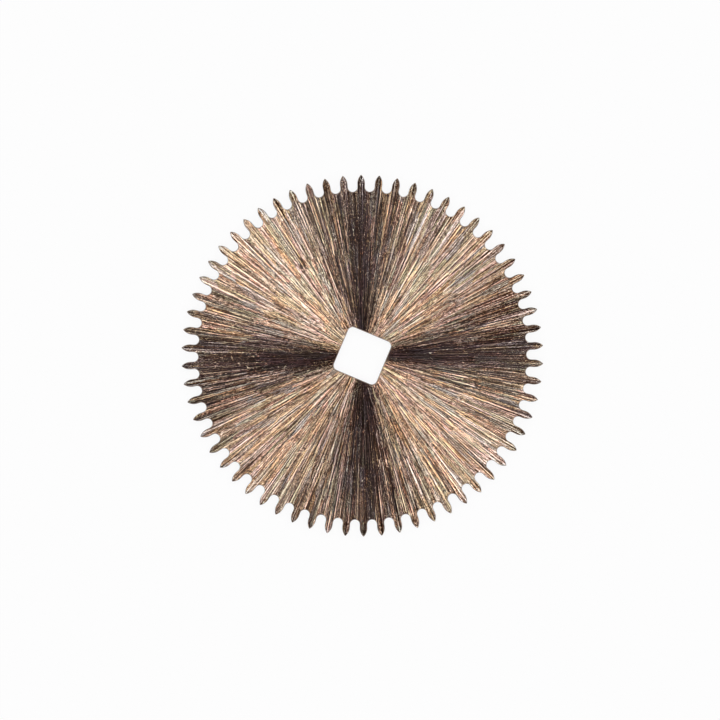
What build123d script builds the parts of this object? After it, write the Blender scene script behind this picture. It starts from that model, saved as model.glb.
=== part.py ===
"""Ratchet wheel of a wristwatch's winding work.

One flat steel wheel with 62 pointed teeth and a rounded square hole. The square sits on the end
of the barrel arbor, a screw head clamps the wheel from above, and the click and the crown wheel
work in the teeth. It lies on its underside: the axis of the wheel is Z, the underside is at
Z = 0, and the flats of the square face X and Y. One tooth points along +Y.
"""

import os
from math import asin, cos, degrees, radians, sin

from build123d import *

# Toothed rim, in millimetres. The addendum is counted to the sharp point, before it is rounded.
tooth_count = 62
module = 0.15
addendum = 0.246
dedendum = 0.215
tooth_thickness = 0.203
tip_rounding = 0.02

# Plate, in millimetres
plate_thickness = 0.28

# Square hole for the barrel arbor, in millimetres
square_across_flats = 1.25
square_corner_radius = 0.14
square_edge_break = 0.015

# Circles of the rim
pitch_radius = module * tooth_count / 2
point_radius = pitch_radius + addendum
root_radius = pitch_radius - dedendum

# Angles in degrees, counted from the middle of a tooth
half_pitch_angle = 180 / tooth_count
flank_angle = degrees(asin(tooth_thickness / 2 / pitch_radius))

# The bottom of each tooth space is one arc that runs into both flanks and touches the root circle
space_half_angle = radians(half_pitch_angle - flank_angle)
space_radius = root_radius * sin(space_half_angle) / (1 - sin(space_half_angle))
flank_foot_radius = (root_radius + space_radius) * cos(space_half_angle)


def rim_point(radius, angle):
    """The point at this radius, with its angle counted clockwise from the tooth on +Y."""
    return Vector(radius * sin(radians(angle)), radius * cos(radians(angle)))


# One tooth and the space beside it: radial flanks, and above the pitch circle a pointed arch
with BuildLine() as tooth_line:
    flank = Line(rim_point(flank_foot_radius, flank_angle), rim_point(pitch_radius, flank_angle))
    TangentArc(flank @ 1, rim_point(point_radius, 0), tangent=flank % 1)
    mirror(about=Plane.YZ)
    fillet(tooth_line.vertices().sort_by(Axis.Y)[-1], tip_rounding)
    ThreePointArc(
        flank @ 0,
        rim_point(root_radius, half_pitch_angle),
        rim_point(flank_foot_radius, 2 * half_pitch_angle - flank_angle),
    )

with BuildPart() as ratchet_wheel:
    with BuildSketch():
        with BuildLine():
            with PolarLocations(0, tooth_count):
                add(tooth_line.line)
        make_face()
        RectangleRounded(
            square_across_flats, square_across_flats, square_corner_radius, mode=Mode.SUBTRACT
        )
    extrude(amount=plate_thickness)
    # The square's upper edge is broken, so that the arbor enters it easily
    brushed_face = ratchet_wheel.faces().sort_by(Axis.Z)[-1]
    chamfer(brushed_face.inner_wires().edges(), square_edge_break)

ratchet_wheel.part.label = "ratchet_wheel"

os.makedirs("parts", exist_ok=True)
export_step(ratchet_wheel.part, "parts/ratchet_wheel.step")
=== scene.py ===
from math import asin, atan2, cos, pi, radians, sin, sqrt

import bmesh
import bpy
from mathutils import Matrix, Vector
from mathutils.geometry import tessellate_polygon


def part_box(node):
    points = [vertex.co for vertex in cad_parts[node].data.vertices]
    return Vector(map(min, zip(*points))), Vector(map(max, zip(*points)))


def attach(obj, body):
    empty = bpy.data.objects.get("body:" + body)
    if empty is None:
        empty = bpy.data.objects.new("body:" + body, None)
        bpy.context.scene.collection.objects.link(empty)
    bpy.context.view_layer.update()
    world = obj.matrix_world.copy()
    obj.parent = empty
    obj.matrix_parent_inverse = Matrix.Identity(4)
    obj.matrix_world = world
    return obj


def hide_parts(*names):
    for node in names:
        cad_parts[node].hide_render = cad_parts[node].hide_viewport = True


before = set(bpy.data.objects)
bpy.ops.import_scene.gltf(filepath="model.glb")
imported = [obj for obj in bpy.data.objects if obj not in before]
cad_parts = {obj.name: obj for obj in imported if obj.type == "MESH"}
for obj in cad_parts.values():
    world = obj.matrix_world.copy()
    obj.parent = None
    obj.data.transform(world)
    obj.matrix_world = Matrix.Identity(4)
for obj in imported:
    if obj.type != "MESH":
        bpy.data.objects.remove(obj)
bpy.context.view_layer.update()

# The camera. It stands straight above the wheel with a long lens. The picture takes in 19.45 mm
# of ground, and the wheel lies turned in it, a little right of the middle and above it.
mm = 0.001
lens = 100
sensor_width = 36
picture_width = 19.452 * mm
wheel_turn = radians(22.833)
wheel_right_of_middle = 0.063 * mm
wheel_above_middle = 0.115 * mm
wheel_low, wheel_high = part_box("ratchet_wheel")

camera_data = bpy.data.cameras.new("camera")
camera_data.lens = lens
camera_data.sensor_width = sensor_width
camera_data.clip_start = 1 * mm
camera_data.clip_end = 1
camera = bpy.data.objects.new("camera", camera_data)
picture_right = Vector((cos(wheel_turn), sin(wheel_turn), 0))
picture_up = Vector((-sin(wheel_turn), cos(wheel_turn), 0))
camera.location = -wheel_right_of_middle * picture_right - wheel_above_middle * picture_up
camera.location.z = wheel_high.z + picture_width * lens / sensor_width
camera.rotation_euler.z = wheel_turn
bpy.context.scene.collection.objects.link(camera)
bpy.context.scene.camera = camera
bpy.context.scene.view_settings.view_transform = "Standard"


# The studio: a round white floor that turns up into a low wall, four soft lamps, one over each
# corner of the picture, and a dim room above them. The floor is lightened a little short of plain
# white, so that it keeps the wheel's shadow.
floor_radius = 340 * mm
wall_radius = 500 * mm
wall_height = 95 * mm
floor_below_wheel = 0.002 * mm
card_colour = (0.9, 0.9, 0.9, 1)
card_lightening = 0.92
lamp_distance = 200 * mm
lamp_rise = radians(56)
lamp_width = 132 * mm
lamp_height = 85 * mm
lamp_power = (0.115, 0.095, 0.115, 0.095)
room_colour = (0.048, 0.037, 0.060, 1)


def add_floor():
    """A round floor with its rim turned up in a smooth curve."""
    rings = [(share * floor_radius, 0) for share in (0.04, 0.2, 0.6, 1)]
    curve_steps = 12
    for step in range(1, curve_steps + 1):
        share = step / curve_steps
        rings.append((
            floor_radius + (wall_radius - floor_radius) * sin(share * pi / 2),
            wall_height * (1 - cos(share * pi / 2)),
        ))
    round_steps = 96
    corners = [(0, 0, -floor_below_wheel)]
    for radius, height in rings:
        for step in range(round_steps):
            angle = 2 * pi * step / round_steps
            corners.append((radius * cos(angle), radius * sin(angle), height - floor_below_wheel))
    faces = [(0, 1 + step, 1 + (step + 1) % round_steps) for step in range(round_steps)]
    for ring in range(len(rings) - 1):
        inner = 1 + ring * round_steps
        outer = inner + round_steps
        for step in range(round_steps):
            after = (step + 1) % round_steps
            faces.append((inner + step, outer + step, outer + after, inner + after))
    mesh = bpy.data.meshes.new("floor")
    mesh.from_pydata(corners, [], faces)
    mesh.polygons.foreach_set("use_smooth", [True] * len(mesh.polygons))
    floor = bpy.data.objects.new("floor", mesh)
    bpy.context.scene.collection.objects.link(floor)
    return floor


def white_card():
    """White card. What the camera, metal and glass see of it is lightened towards plain white."""
    material = bpy.data.materials.new("white_card")
    material.use_nodes = True
    tree = material.node_tree
    tree.nodes.clear()
    card = tree.nodes.new("ShaderNodeBsdfDiffuse")
    card.inputs["Color"].default_value = card_colour
    white = tree.nodes.new("ShaderNodeEmission")
    white.inputs["Color"].default_value = (1, 1, 1, 1)
    path = tree.nodes.new("ShaderNodeLightPath")
    seen = tree.nodes.new("ShaderNodeMath")
    seen.operation = "MAXIMUM"
    tree.links.new(path.outputs["Is Camera Ray"], seen.inputs[0])
    tree.links.new(path.outputs["Is Glossy Ray"], seen.inputs[1])
    seen_through = tree.nodes.new("ShaderNodeMath")
    seen_through.operation = "MAXIMUM"
    tree.links.new(seen.outputs[0], seen_through.inputs[0])
    tree.links.new(path.outputs["Is Transmission Ray"], seen_through.inputs[1])
    lightening = tree.nodes.new("ShaderNodeMath")
    lightening.operation = "MULTIPLY"
    lightening.inputs[1].default_value = card_lightening
    tree.links.new(seen_through.outputs[0], lightening.inputs[0])
    mix = tree.nodes.new("ShaderNodeMixShader")
    tree.links.new(lightening.outputs[0], mix.inputs["Fac"])
    tree.links.new(card.outputs["BSDF"], mix.inputs[1])
    tree.links.new(white.outputs["Emission"], mix.inputs[2])
    output = tree.nodes.new("ShaderNodeOutputMaterial")
    tree.links.new(mix.outputs["Shader"], output.inputs["Surface"])
    return material


floor = add_floor()
floor.data.materials.append(white_card())

for corner, power in enumerate(lamp_power):
    azimuth = wheel_turn + radians(45 + 90 * corner)
    lamp_data = bpy.data.lights.new(f"lamp_{corner + 1}", "AREA")
    lamp_data.shape = "ELLIPSE"
    lamp_data.size = lamp_width
    lamp_data.size_y = lamp_height
    lamp_data.energy = power
    lamp = bpy.data.objects.new(f"lamp_{corner + 1}", lamp_data)
    towards_lamp = Vector((
        cos(azimuth) * cos(lamp_rise), sin(azimuth) * cos(lamp_rise), sin(lamp_rise)
    ))
    lamp.location = towards_lamp * lamp_distance
    lamp.rotation_mode = "QUATERNION"
    lamp.rotation_quaternion = towards_lamp.to_track_quat("Z", "Y")
    bpy.context.scene.collection.objects.link(lamp)

world = bpy.data.worlds.new("room")
world.use_nodes = True
world.node_tree.nodes["Background"].inputs["Color"].default_value = room_colour
bpy.context.scene.world = world


# The ratchet wheel: one disc of hardened steel with a rose gilt plating. The teeth are cut into
# its rim, the square is broached for the barrel arbor, and the upper face is brushed outwards
# from the hole to the teeth.
tooth_count = 62
module = 0.15 * mm
addendum = 0.246 * mm
dedendum = 0.215 * mm
tooth_thickness = 0.203 * mm
tip_rounding = 0.02 * mm
square_across_flats = 1.25 * mm
square_corner_radius = 0.14 * mm
edge_break = 0.015 * mm
space_steps = 14
arch_steps = 12
tip_steps = 6
square_corner_steps = 12
edge_steps = 4


def arc_points(centre, radius, start, end, steps, hollow=False):
    """Points along an arc, each with the direction that leads out of the metal there."""
    points = []
    for step in range(steps + 1):
        angle = start + (end - start) * step / steps
        outwards = Vector((cos(angle), sin(angle)))
        points.append((centre + radius * outwards, -outwards if hollow else outwards))
    return points


def half_tooth():
    """From the bottom of the tooth space on the right up to the middle of the tooth on +Y."""
    pitch_radius = module * tooth_count / 2
    root_radius = pitch_radius - dedendum
    half_pitch = pi / tooth_count
    flank_angle = asin(tooth_thickness / 2 / pitch_radius)
    along_flank = Vector((sin(flank_angle), cos(flank_angle)))
    off_flank = Vector((cos(flank_angle), -sin(flank_angle)))

    # The space's one arc touches the root circle and runs into both flanks
    space_half_angle = half_pitch - flank_angle
    space_radius = root_radius * sin(space_half_angle) / (1 - sin(space_half_angle))
    along_space = Vector((sin(half_pitch), cos(half_pitch)))
    space_centre = (root_radius + space_radius) * along_space
    flank_foot = (root_radius + space_radius) * cos(space_half_angle) * along_flank

    # Above the pitch circle the flank bends over to the point, which is rounded a little
    flank_top = pitch_radius * along_flank
    sharp_point = Vector((0, pitch_radius + addendum))
    to_top = flank_top - sharp_point
    arch_radius = to_top.length_squared / (2 * to_top.dot(off_flank))
    arch_centre = flank_top - arch_radius * off_flank
    tip_height = arch_centre.y + sqrt((arch_radius - tip_rounding) ** 2 - arch_centre.x ** 2)
    tip_centre = Vector((0, tip_height))
    to_tip = tip_centre - arch_centre

    bottom = -along_space
    foot = flank_foot - space_centre
    space_start = atan2(bottom.y, bottom.x)
    space_end = atan2(foot.y, foot.x) - 2 * pi
    arch_start = atan2(off_flank.y, off_flank.x)
    arch_end = atan2(to_tip.y, to_tip.x)
    space = arc_points(
        space_centre, space_radius, space_start, space_end, space_steps, hollow=True
    )
    arch = arc_points(arch_centre, arch_radius, arch_start, arch_end, arch_steps)
    tip = arc_points(tip_centre, tip_rounding, arch_end, pi / 2, tip_steps)
    return space + arch + tip[1:]


def turned(flat, angle):
    """A flat vector turned about the axis."""
    return Vector((
        flat.x * cos(angle) - flat.y * sin(angle),
        flat.x * sin(angle) + flat.y * cos(angle),
    ))


def toothed_outline():
    """The whole rim, counter-clockwise, with the direction that leads out of the metal."""
    right = half_tooth()
    left = [
        (Vector((-point.x, point.y)), Vector((-outwards.x, outwards.y)))
        for point, outwards in reversed(right)
    ]
    tooth = right + left[1:-1]
    outline = []
    for number in range(tooth_count):
        turn = 2 * pi * number / tooth_count
        outline += [(turned(point, turn), turned(outwards, turn)) for point, outwards in tooth]
    return outline


def square_outline():
    """The square hole, clockwise, with its rounded corners."""
    reach = square_across_flats / 2 - square_corner_radius
    outline = []
    for quarter in range(4):
        diagonal = pi / 4 - quarter * pi / 2
        corner = sqrt(2) * reach * Vector((cos(diagonal), sin(diagonal)))
        outline += arc_points(
            corner, square_corner_radius, diagonal + pi / 4, diagonal - pi / 4,
            square_corner_steps, hollow=True
        )
    return outline


def edge_profile():
    """How far in and how high each ring of a cut wall lies, from the upper face to the lower."""
    thickness = wheel_high.z - wheel_low.z
    rounding = [pi / 2 * step / edge_steps for step in range(edge_steps + 1)]
    upper = [
        (edge_break * (1 - sin(angle)), thickness - edge_break * (1 - cos(angle)))
        for angle in rounding
    ]
    lower = [(inset, thickness - height) for inset, height in reversed(upper)]
    return upper + lower


def add_wall(shape, outline, material):
    """The cut wall that follows an outline, with rounded edges. Gives its first and last ring."""
    rings = []
    for inset, height in edge_profile():
        ring = []
        for point, outwards in outline:
            place = point - inset * outwards
            ring.append(shape.verts.new((place.x, place.y, height)))
        rings.append(ring)
    for upper, lower in zip(rings, rings[1:]):
        for here in range(len(outline)):
            after = (here + 1) % len(outline)
            face = shape.faces.new((upper[here], lower[here], lower[after], upper[after]))
            face.material_index = material
            face.smooth = True
    return rings[0], rings[-1]


def add_flat(shape, rim, hole, upwards, material):
    """A flat face between the rim and the square."""
    corners = rim + hole
    loops = [[corner.co for corner in rim], [corner.co for corner in hole]]
    for three in tessellate_polygon(loops):
        face = shape.faces.new([corners[number] for number in three])
        face.normal_update()
        if (face.normal.z > 0) != upwards:
            face.normal_flip()
        face.material_index = material


def wheel_mesh(brushed, cut, ground):
    """The wheel, with the number of the finish on its upper face, its walls and its underside."""
    shape = bmesh.new()
    upper_rim, lower_rim = add_wall(shape, toothed_outline(), cut)
    upper_square, lower_square = add_wall(shape, square_outline(), cut)
    add_flat(shape, upper_rim, upper_square, True, brushed)
    add_flat(shape, lower_rim, lower_square, False, ground)
    mesh = bpy.data.meshes.new("brushed_wheel")
    shape.to_mesh(mesh)
    shape.free()
    return mesh


def value_or_link(tree, socket, value):
    """Sets a socket to a plain value, or links it to another node's output."""
    if isinstance(value, bpy.types.NodeSocket):
        tree.links.new(value, socket)
    else:
        socket.default_value = value


def maths(tree, operation, *values):
    node = tree.nodes.new("ShaderNodeMath")
    node.operation = operation
    for socket, value in zip(node.inputs, values):
        value_or_link(tree, socket, value)
    return node.outputs["Value"]


def vector_maths(tree, operation, *values):
    node = tree.nodes.new("ShaderNodeVectorMath")
    node.operation = operation
    for socket, value in zip(node.inputs, values):
        value_or_link(tree, socket, value)
    return node.outputs["Value" if operation in ("LENGTH", "DOT_PRODUCT") else "Vector"]


def scaled(tree, vector, factor):
    node = tree.nodes.new("ShaderNodeVectorMath")
    node.operation = "SCALE"
    tree.links.new(vector, node.inputs["Vector"])
    value_or_link(tree, node.inputs["Scale"], factor)
    return node.outputs["Vector"]


def added_up(tree, start, *shares):
    """The start value, and each value times its weight."""
    total = start
    for value, weight in shares:
        total = maths(tree, "MULTIPLY_ADD", value, weight, total)
    return total


def coloured(tree, value, stops):
    """A colour for each value, run smoothly between the given ones."""
    node = tree.nodes.new("ShaderNodeValToRGB")
    tree.links.new(value, node.inputs["Fac"])
    elements = node.color_ramp.elements
    while len(elements) < len(stops):
        elements.new(0.5)
    for element, (position, colour) in zip(elements, stops):
        element.position = position
        element.color = (*colour, 1)
    return node.outputs["Color"]


def split(tree, vector):
    node = tree.nodes.new("ShaderNodeSeparateXYZ")
    tree.links.new(vector, node.inputs["Vector"])
    return node.outputs


def cells(tree, place):
    """Cells of about unit size: Color is three random values for each, Position its middle."""
    node = tree.nodes.new("ShaderNodeTexVoronoi")
    node.voronoi_dimensions = "3D"
    node.feature = "F1"
    node.inputs["Scale"].default_value = 1
    node.inputs["Randomness"].default_value = 1
    tree.links.new(place, node.inputs["Vector"])
    return node.outputs


def clouds(tree, place, detail=3):
    """Three soft random values that change over about one unit of length."""
    node = tree.nodes.new("ShaderNodeTexNoise")
    node.noise_dimensions = "3D"
    node.inputs["Scale"].default_value = 1
    node.inputs["Detail"].default_value = detail
    node.inputs["Roughness"].default_value = 0.6
    tree.links.new(place, node.inputs["Vector"])
    return node.outputs["Color"]


def new_finish(name):
    """An empty material, with its nodes, its shader and the place on the wheel."""
    material = bpy.data.materials.new(name)
    material.use_nodes = True
    tree = material.node_tree
    place = tree.nodes.new("ShaderNodeTexCoord").outputs["Object"]
    return material, tree, tree.nodes["Principled BSDF"], place


# The sunray brushing. The marks of each kind all lead away from the axis, and each kind is given
# as its width and its length. A film is a patch of gilding of one thickness.
groove = (0.034 * mm, 1.8 * mm)
hairline = (0.017 * mm, 2.6 * mm)
long_stroke = (0.015 * mm, 1.3 * mm)
short_stroke = (0.014 * mm, 0.28 * mm)
film = (0.10 * mm, 0.8 * mm)
grain_size = 0.027 * mm
speck_size = 0.035 * mm
speck_slope = 0.13

# Strokes have their own width at the middle of a zone. Each further zone is given as its start
# and as how far its middle lies from the middle of the zone before.
first_zone_middle = 0.95 * mm
further_zones = ((1.45 * mm, 0.55 * mm), (2.15 * mm, 0.9 * mm), (3.25 * mm, 1.5 * mm))
zone_raggedness = 0.5 * mm

# How many of them stand out
bright_hairline_share = 0.08
dark_hairline_share = 0.13
stray_hairline_share = 0.06
stray_groove_share = 0.07
speck_share = 0.12

just_past_teeth = 5 * mm
# Painted light: the face is made a little lighter towards this side of the wheel
lighter_side_angle = radians(112.833)
turn_of_brushing = 0.027
stray_lean = 0.35
brushed_roughness = 0.26


def fanned(tree, distance, away, to_radian, length, number):
    """Room for marks that lead away from the axis: so many to a radian, and each this long."""
    # The marks of each number lie in a part of the pattern of their own
    lengths_apart = 17.3
    along = maths(tree, "MULTIPLY_ADD", distance, 1 / length, lengths_apart * number)
    lengthways = tree.nodes.new("ShaderNodeCombineXYZ")
    tree.links.new(along, lengthways.inputs["Z"])
    return vector_maths(tree, "ADD", scaled(tree, away, to_radian), lengthways.outputs["Vector"])


def some_of(tree, value, share):
    """1 for this share of the random values, and 0 for the others."""
    return maths(tree, "GREATER_THAN", value, 1 - share)


def brushed_face():
    """Sunray brushing under the rose gilding."""
    material, tree, shader, place = new_finish("brushed_face")
    flat = vector_maths(tree, "MULTIPLY", place, (1, 1, 0))
    distance = vector_maths(tree, "LENGTH", flat)
    away = vector_maths(tree, "NORMALIZE", flat)
    sideways = vector_maths(tree, "CROSS_PRODUCT", (0, 0, 1), away)

    # Broad rays run the whole way from the hole to the teeth. They widen as they go and stand out
    # more towards the teeth.
    sheen = split(tree, clouds(tree, fanned(
        tree, distance, away, to_radian=13, length=7 * mm, number=12
    ), detail=2))
    rays = split(tree, cells(tree, fanned(
        tree, distance, away, to_radian=14, length=9 * mm, number=2
    ))["Color"])
    way_out = maths(tree, "DIVIDE", distance, just_past_teeth)
    sheen_depth = maths(tree, "MULTIPLY", way_out, maths(tree, "SUBTRACT", sheen[0], 0.5))

    # The strokes are equally fine everywhere, so the face has four zones of them, and the strokes
    # of one zone give way to those of the next at no fixed distance from the hole.
    threads = split(tree, cells(tree, fanned(
        tree, distance, away, to_radian=130, length=20 * mm, number=3
    ))["Color"])
    ragged = maths(tree, "MULTIPLY_ADD", threads[0], zone_raggedness, distance)
    zone_middle = added_up(tree, first_zone_middle, *(
        (maths(tree, "GREATER_THAN", ragged, start), step_out) for start, step_out in further_zones
    ))
    kinds = (groove, hairline, long_stroke, short_stroke, film)
    marks = [
        cells(tree, fanned(
            tree, distance, away, maths(tree, "MULTIPLY", zone_middle, 1 / width), length, number
        ))
        for number, (width, length) in enumerate(kinds, start=4)
    ]
    grooves, hairlines, long_strokes, short_strokes, films = [
        split(tree, mark["Color"]) for mark in marks
    ]
    # Painted light: across each groove one flank is painted lighter and the other darker, as lit
    # and shadowed
    flank = vector_maths(tree, "DOT_PRODUCT", marks[0]["Position"], sideways)
    grain = split(tree, cells(tree, scaled(tree, place, 1 / grain_size))["Color"])

    # Painted light: each groove gets a painted lit flank and a painted shaded one, and some
    # hairlines are brighter or darker than the face. The face is also painted a little lighter on
    # one side of the wheel.
    bright_hairline = some_of(tree, hairlines[0], bright_hairline_share)
    dark_hairline = maths(tree, "LESS_THAN", hairlines[0], dark_hairline_share)
    towards_lighter_side = (cos(lighter_side_angle), sin(lighter_side_angle), 0)
    painted_side_light = vector_maths(tree, "DOT_PRODUCT", away, towards_lighter_side)
    brightness = added_up(
        tree, -0.022,
        (flank, 0.80), (long_strokes[0], 0.26), (short_strokes[0], 0.20), (grain[0], 0.54),
        (bright_hairline, 0.24), (dark_hairline, -0.22), (sheen_depth, 0.70),
        (painted_side_light, 0.034),
    )
    gilding = coloured(tree, brightness, (
        (0.18, (0.046, 0.018, 0.007)),
        (0.30, (0.128, 0.062, 0.028)),
        (0.41, (0.265, 0.156, 0.088)),
        (0.52, (0.456, 0.315, 0.220)),
        (0.63, (0.675, 0.512, 0.375)),
        (0.74, (0.860, 0.700, 0.530)),
        (0.88, (0.970, 0.845, 0.690)),
    ))
    # The gilding's thickness changes from place to place, and with it how red and how blue it is
    tint = vector_maths(tree, "MULTIPLY_ADD", films[0], (0.28, 0, -0.10), (0.91, 1, 0.86))
    tint = vector_maths(tree, "MULTIPLY_ADD", films[1], (0, 0, 0.26), tint)
    # It is darker round the hole, and the very tips of the teeth are greyed as painted shade
    hole_tone_and_tip_shade = coloured(tree, way_out, (
        (0.20, (0.88, 0.84, 0.83)),
        (0.50, (1.01, 0.99, 1.03)),
        (0.76, (0.97, 0.95, 0.98)),
        (0.935, (0.98, 0.98, 1.02)),
        (0.962, (0.81, 0.88, 0.99)),
        (0.975, (0.66, 0.78, 0.92)),
    ))
    gilding = vector_maths(tree, "MULTIPLY", gilding, tint)
    gilding = vector_maths(tree, "MULTIPLY", gilding, hole_tone_and_tip_shade)
    tree.links.new(gilding, shader.inputs["Base Color"])

    # The strokes are fine grooves, so each tilts the face sideways. The specks tilt it any way.
    tilt = added_up(tree, -0.35, (long_strokes[1], 0.50), (short_strokes[2], 0.20))
    speck_depth = maths(tree, "MULTIPLY", some_of(tree, grain[1], speck_share), speck_slope)
    speck_tilt = cells(tree, scaled(tree, place, 1 / speck_size))["Color"]
    speck_tilt = vector_maths(tree, "SUBTRACT", speck_tilt, (0.5, 0.5, 0.5))
    normal = tree.nodes.new("ShaderNodeNewGeometry").outputs["Normal"]
    normal = vector_maths(tree, "ADD", normal, scaled(tree, sideways, tilt))
    normal = vector_maths(tree, "ADD", normal, scaled(tree, speck_tilt, speck_depth))
    tree.links.new(vector_maths(tree, "NORMALIZE", normal), shader.inputs["Normal"])

    # No stroke leads quite straight outwards. A few hairlines and grooves lean well away, to
    # either side, and catch the light elsewhere.
    stray_hairline = some_of(tree, hairlines[1], stray_hairline_share)
    stray_groove = some_of(tree, grooves[0], stray_groove_share)
    hairline_lean = added_up(tree, -stray_lean, (hairlines[2], 2 * stray_lean))
    groove_lean = added_up(tree, -stray_lean, (grooves[1], 2 * stray_lean))
    lean = added_up(
        tree, -turn_of_brushing,
        (stray_hairline, hairline_lean), (stray_groove, groove_lean),
        (long_strokes[2], 0.03), (short_strokes[1], 0.03), (rays[0], 0.10),
    )
    tangent = vector_maths(tree, "ADD", sideways, scaled(tree, away, lean))
    tree.links.new(tangent, shader.inputs["Tangent"])
    shader.inputs["Metallic"].default_value = 1
    shader.inputs["Roughness"].default_value = brushed_roughness
    shader.inputs["Anisotropic"].default_value = 1
    return material


def add_bump(tree, shader, height, strength, depth):
    bump = tree.nodes.new("ShaderNodeBump")
    bump.inputs["Strength"].default_value = strength
    bump.inputs["Distance"].default_value = depth
    tree.links.new(height, bump.inputs["Height"])
    tree.links.new(bump.outputs["Normal"], shader.inputs["Normal"])


def cut_wall():
    """Teeth and square as the cutter left them, with fine marks through the thickness."""
    material, tree, shader, place = new_finish("cut_wall")
    mark_size = (0.025 * mm, 0.025 * mm, 0.6 * mm)
    blotch_size = 0.35 * mm
    cutter_marks = split(tree, clouds(tree, vector_maths(tree, "DIVIDE", place, mark_size)))
    blotches = split(tree, clouds(tree, scaled(tree, place, 1 / blotch_size)))
    shade = added_up(tree, -0.15, (cutter_marks[0], 0.7), (blotches[0], 0.6))
    steel = coloured(tree, shade, (
        (0.25, (0.105, 0.080, 0.064)),
        (0.45, (0.220, 0.172, 0.138)),
        (0.60, (0.340, 0.262, 0.205)),
        (0.80, (0.520, 0.395, 0.300)),
    ))
    tree.links.new(steel, shader.inputs["Base Color"])
    tree.links.new(added_up(tree, 0.22, (blotches[1], 0.3)), shader.inputs["Roughness"])
    add_bump(tree, shader, cutter_marks[1], strength=0.3, depth=0.004 * mm)
    shader.inputs["Metallic"].default_value = 1
    return material


def ground_underside():
    """The hidden side, ground flat in straight lines and gilt like the rest."""
    material, tree, shader, place = new_finish("ground_underside")
    line_size = (1.5 * mm, 0.02 * mm, 1 * mm)
    blotch_size = 0.8 * mm
    grinding = split(tree, clouds(tree, vector_maths(tree, "DIVIDE", place, line_size)))
    blotches = split(tree, clouds(tree, scaled(tree, place, 1 / blotch_size)))
    shade = added_up(tree, -0.25, (grinding[0], 1.3), (blotches[0], 0.2))
    gilding = coloured(tree, shade, (
        (0.25, (0.300, 0.200, 0.138)),
        (0.50, (0.480, 0.340, 0.245)),
        (0.75, (0.680, 0.500, 0.372)),
    ))
    tree.links.new(gilding, shader.inputs["Base Color"])
    tree.links.new(added_up(tree, 0.32, (blotches[1], 0.12)), shader.inputs["Roughness"])
    add_bump(tree, shader, grinding[1], strength=0.35, depth=0.003 * mm)
    shader.inputs["Metallic"].default_value = 1
    return material


wheel = bpy.data.objects.new("brushed_wheel", wheel_mesh(brushed=0, cut=1, ground=2))
bpy.context.scene.collection.objects.link(wheel)
wheel.data.materials.append(brushed_face())
wheel.data.materials.append(cut_wall())
wheel.data.materials.append(ground_underside())
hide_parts("ratchet_wheel")
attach(wheel, "root")
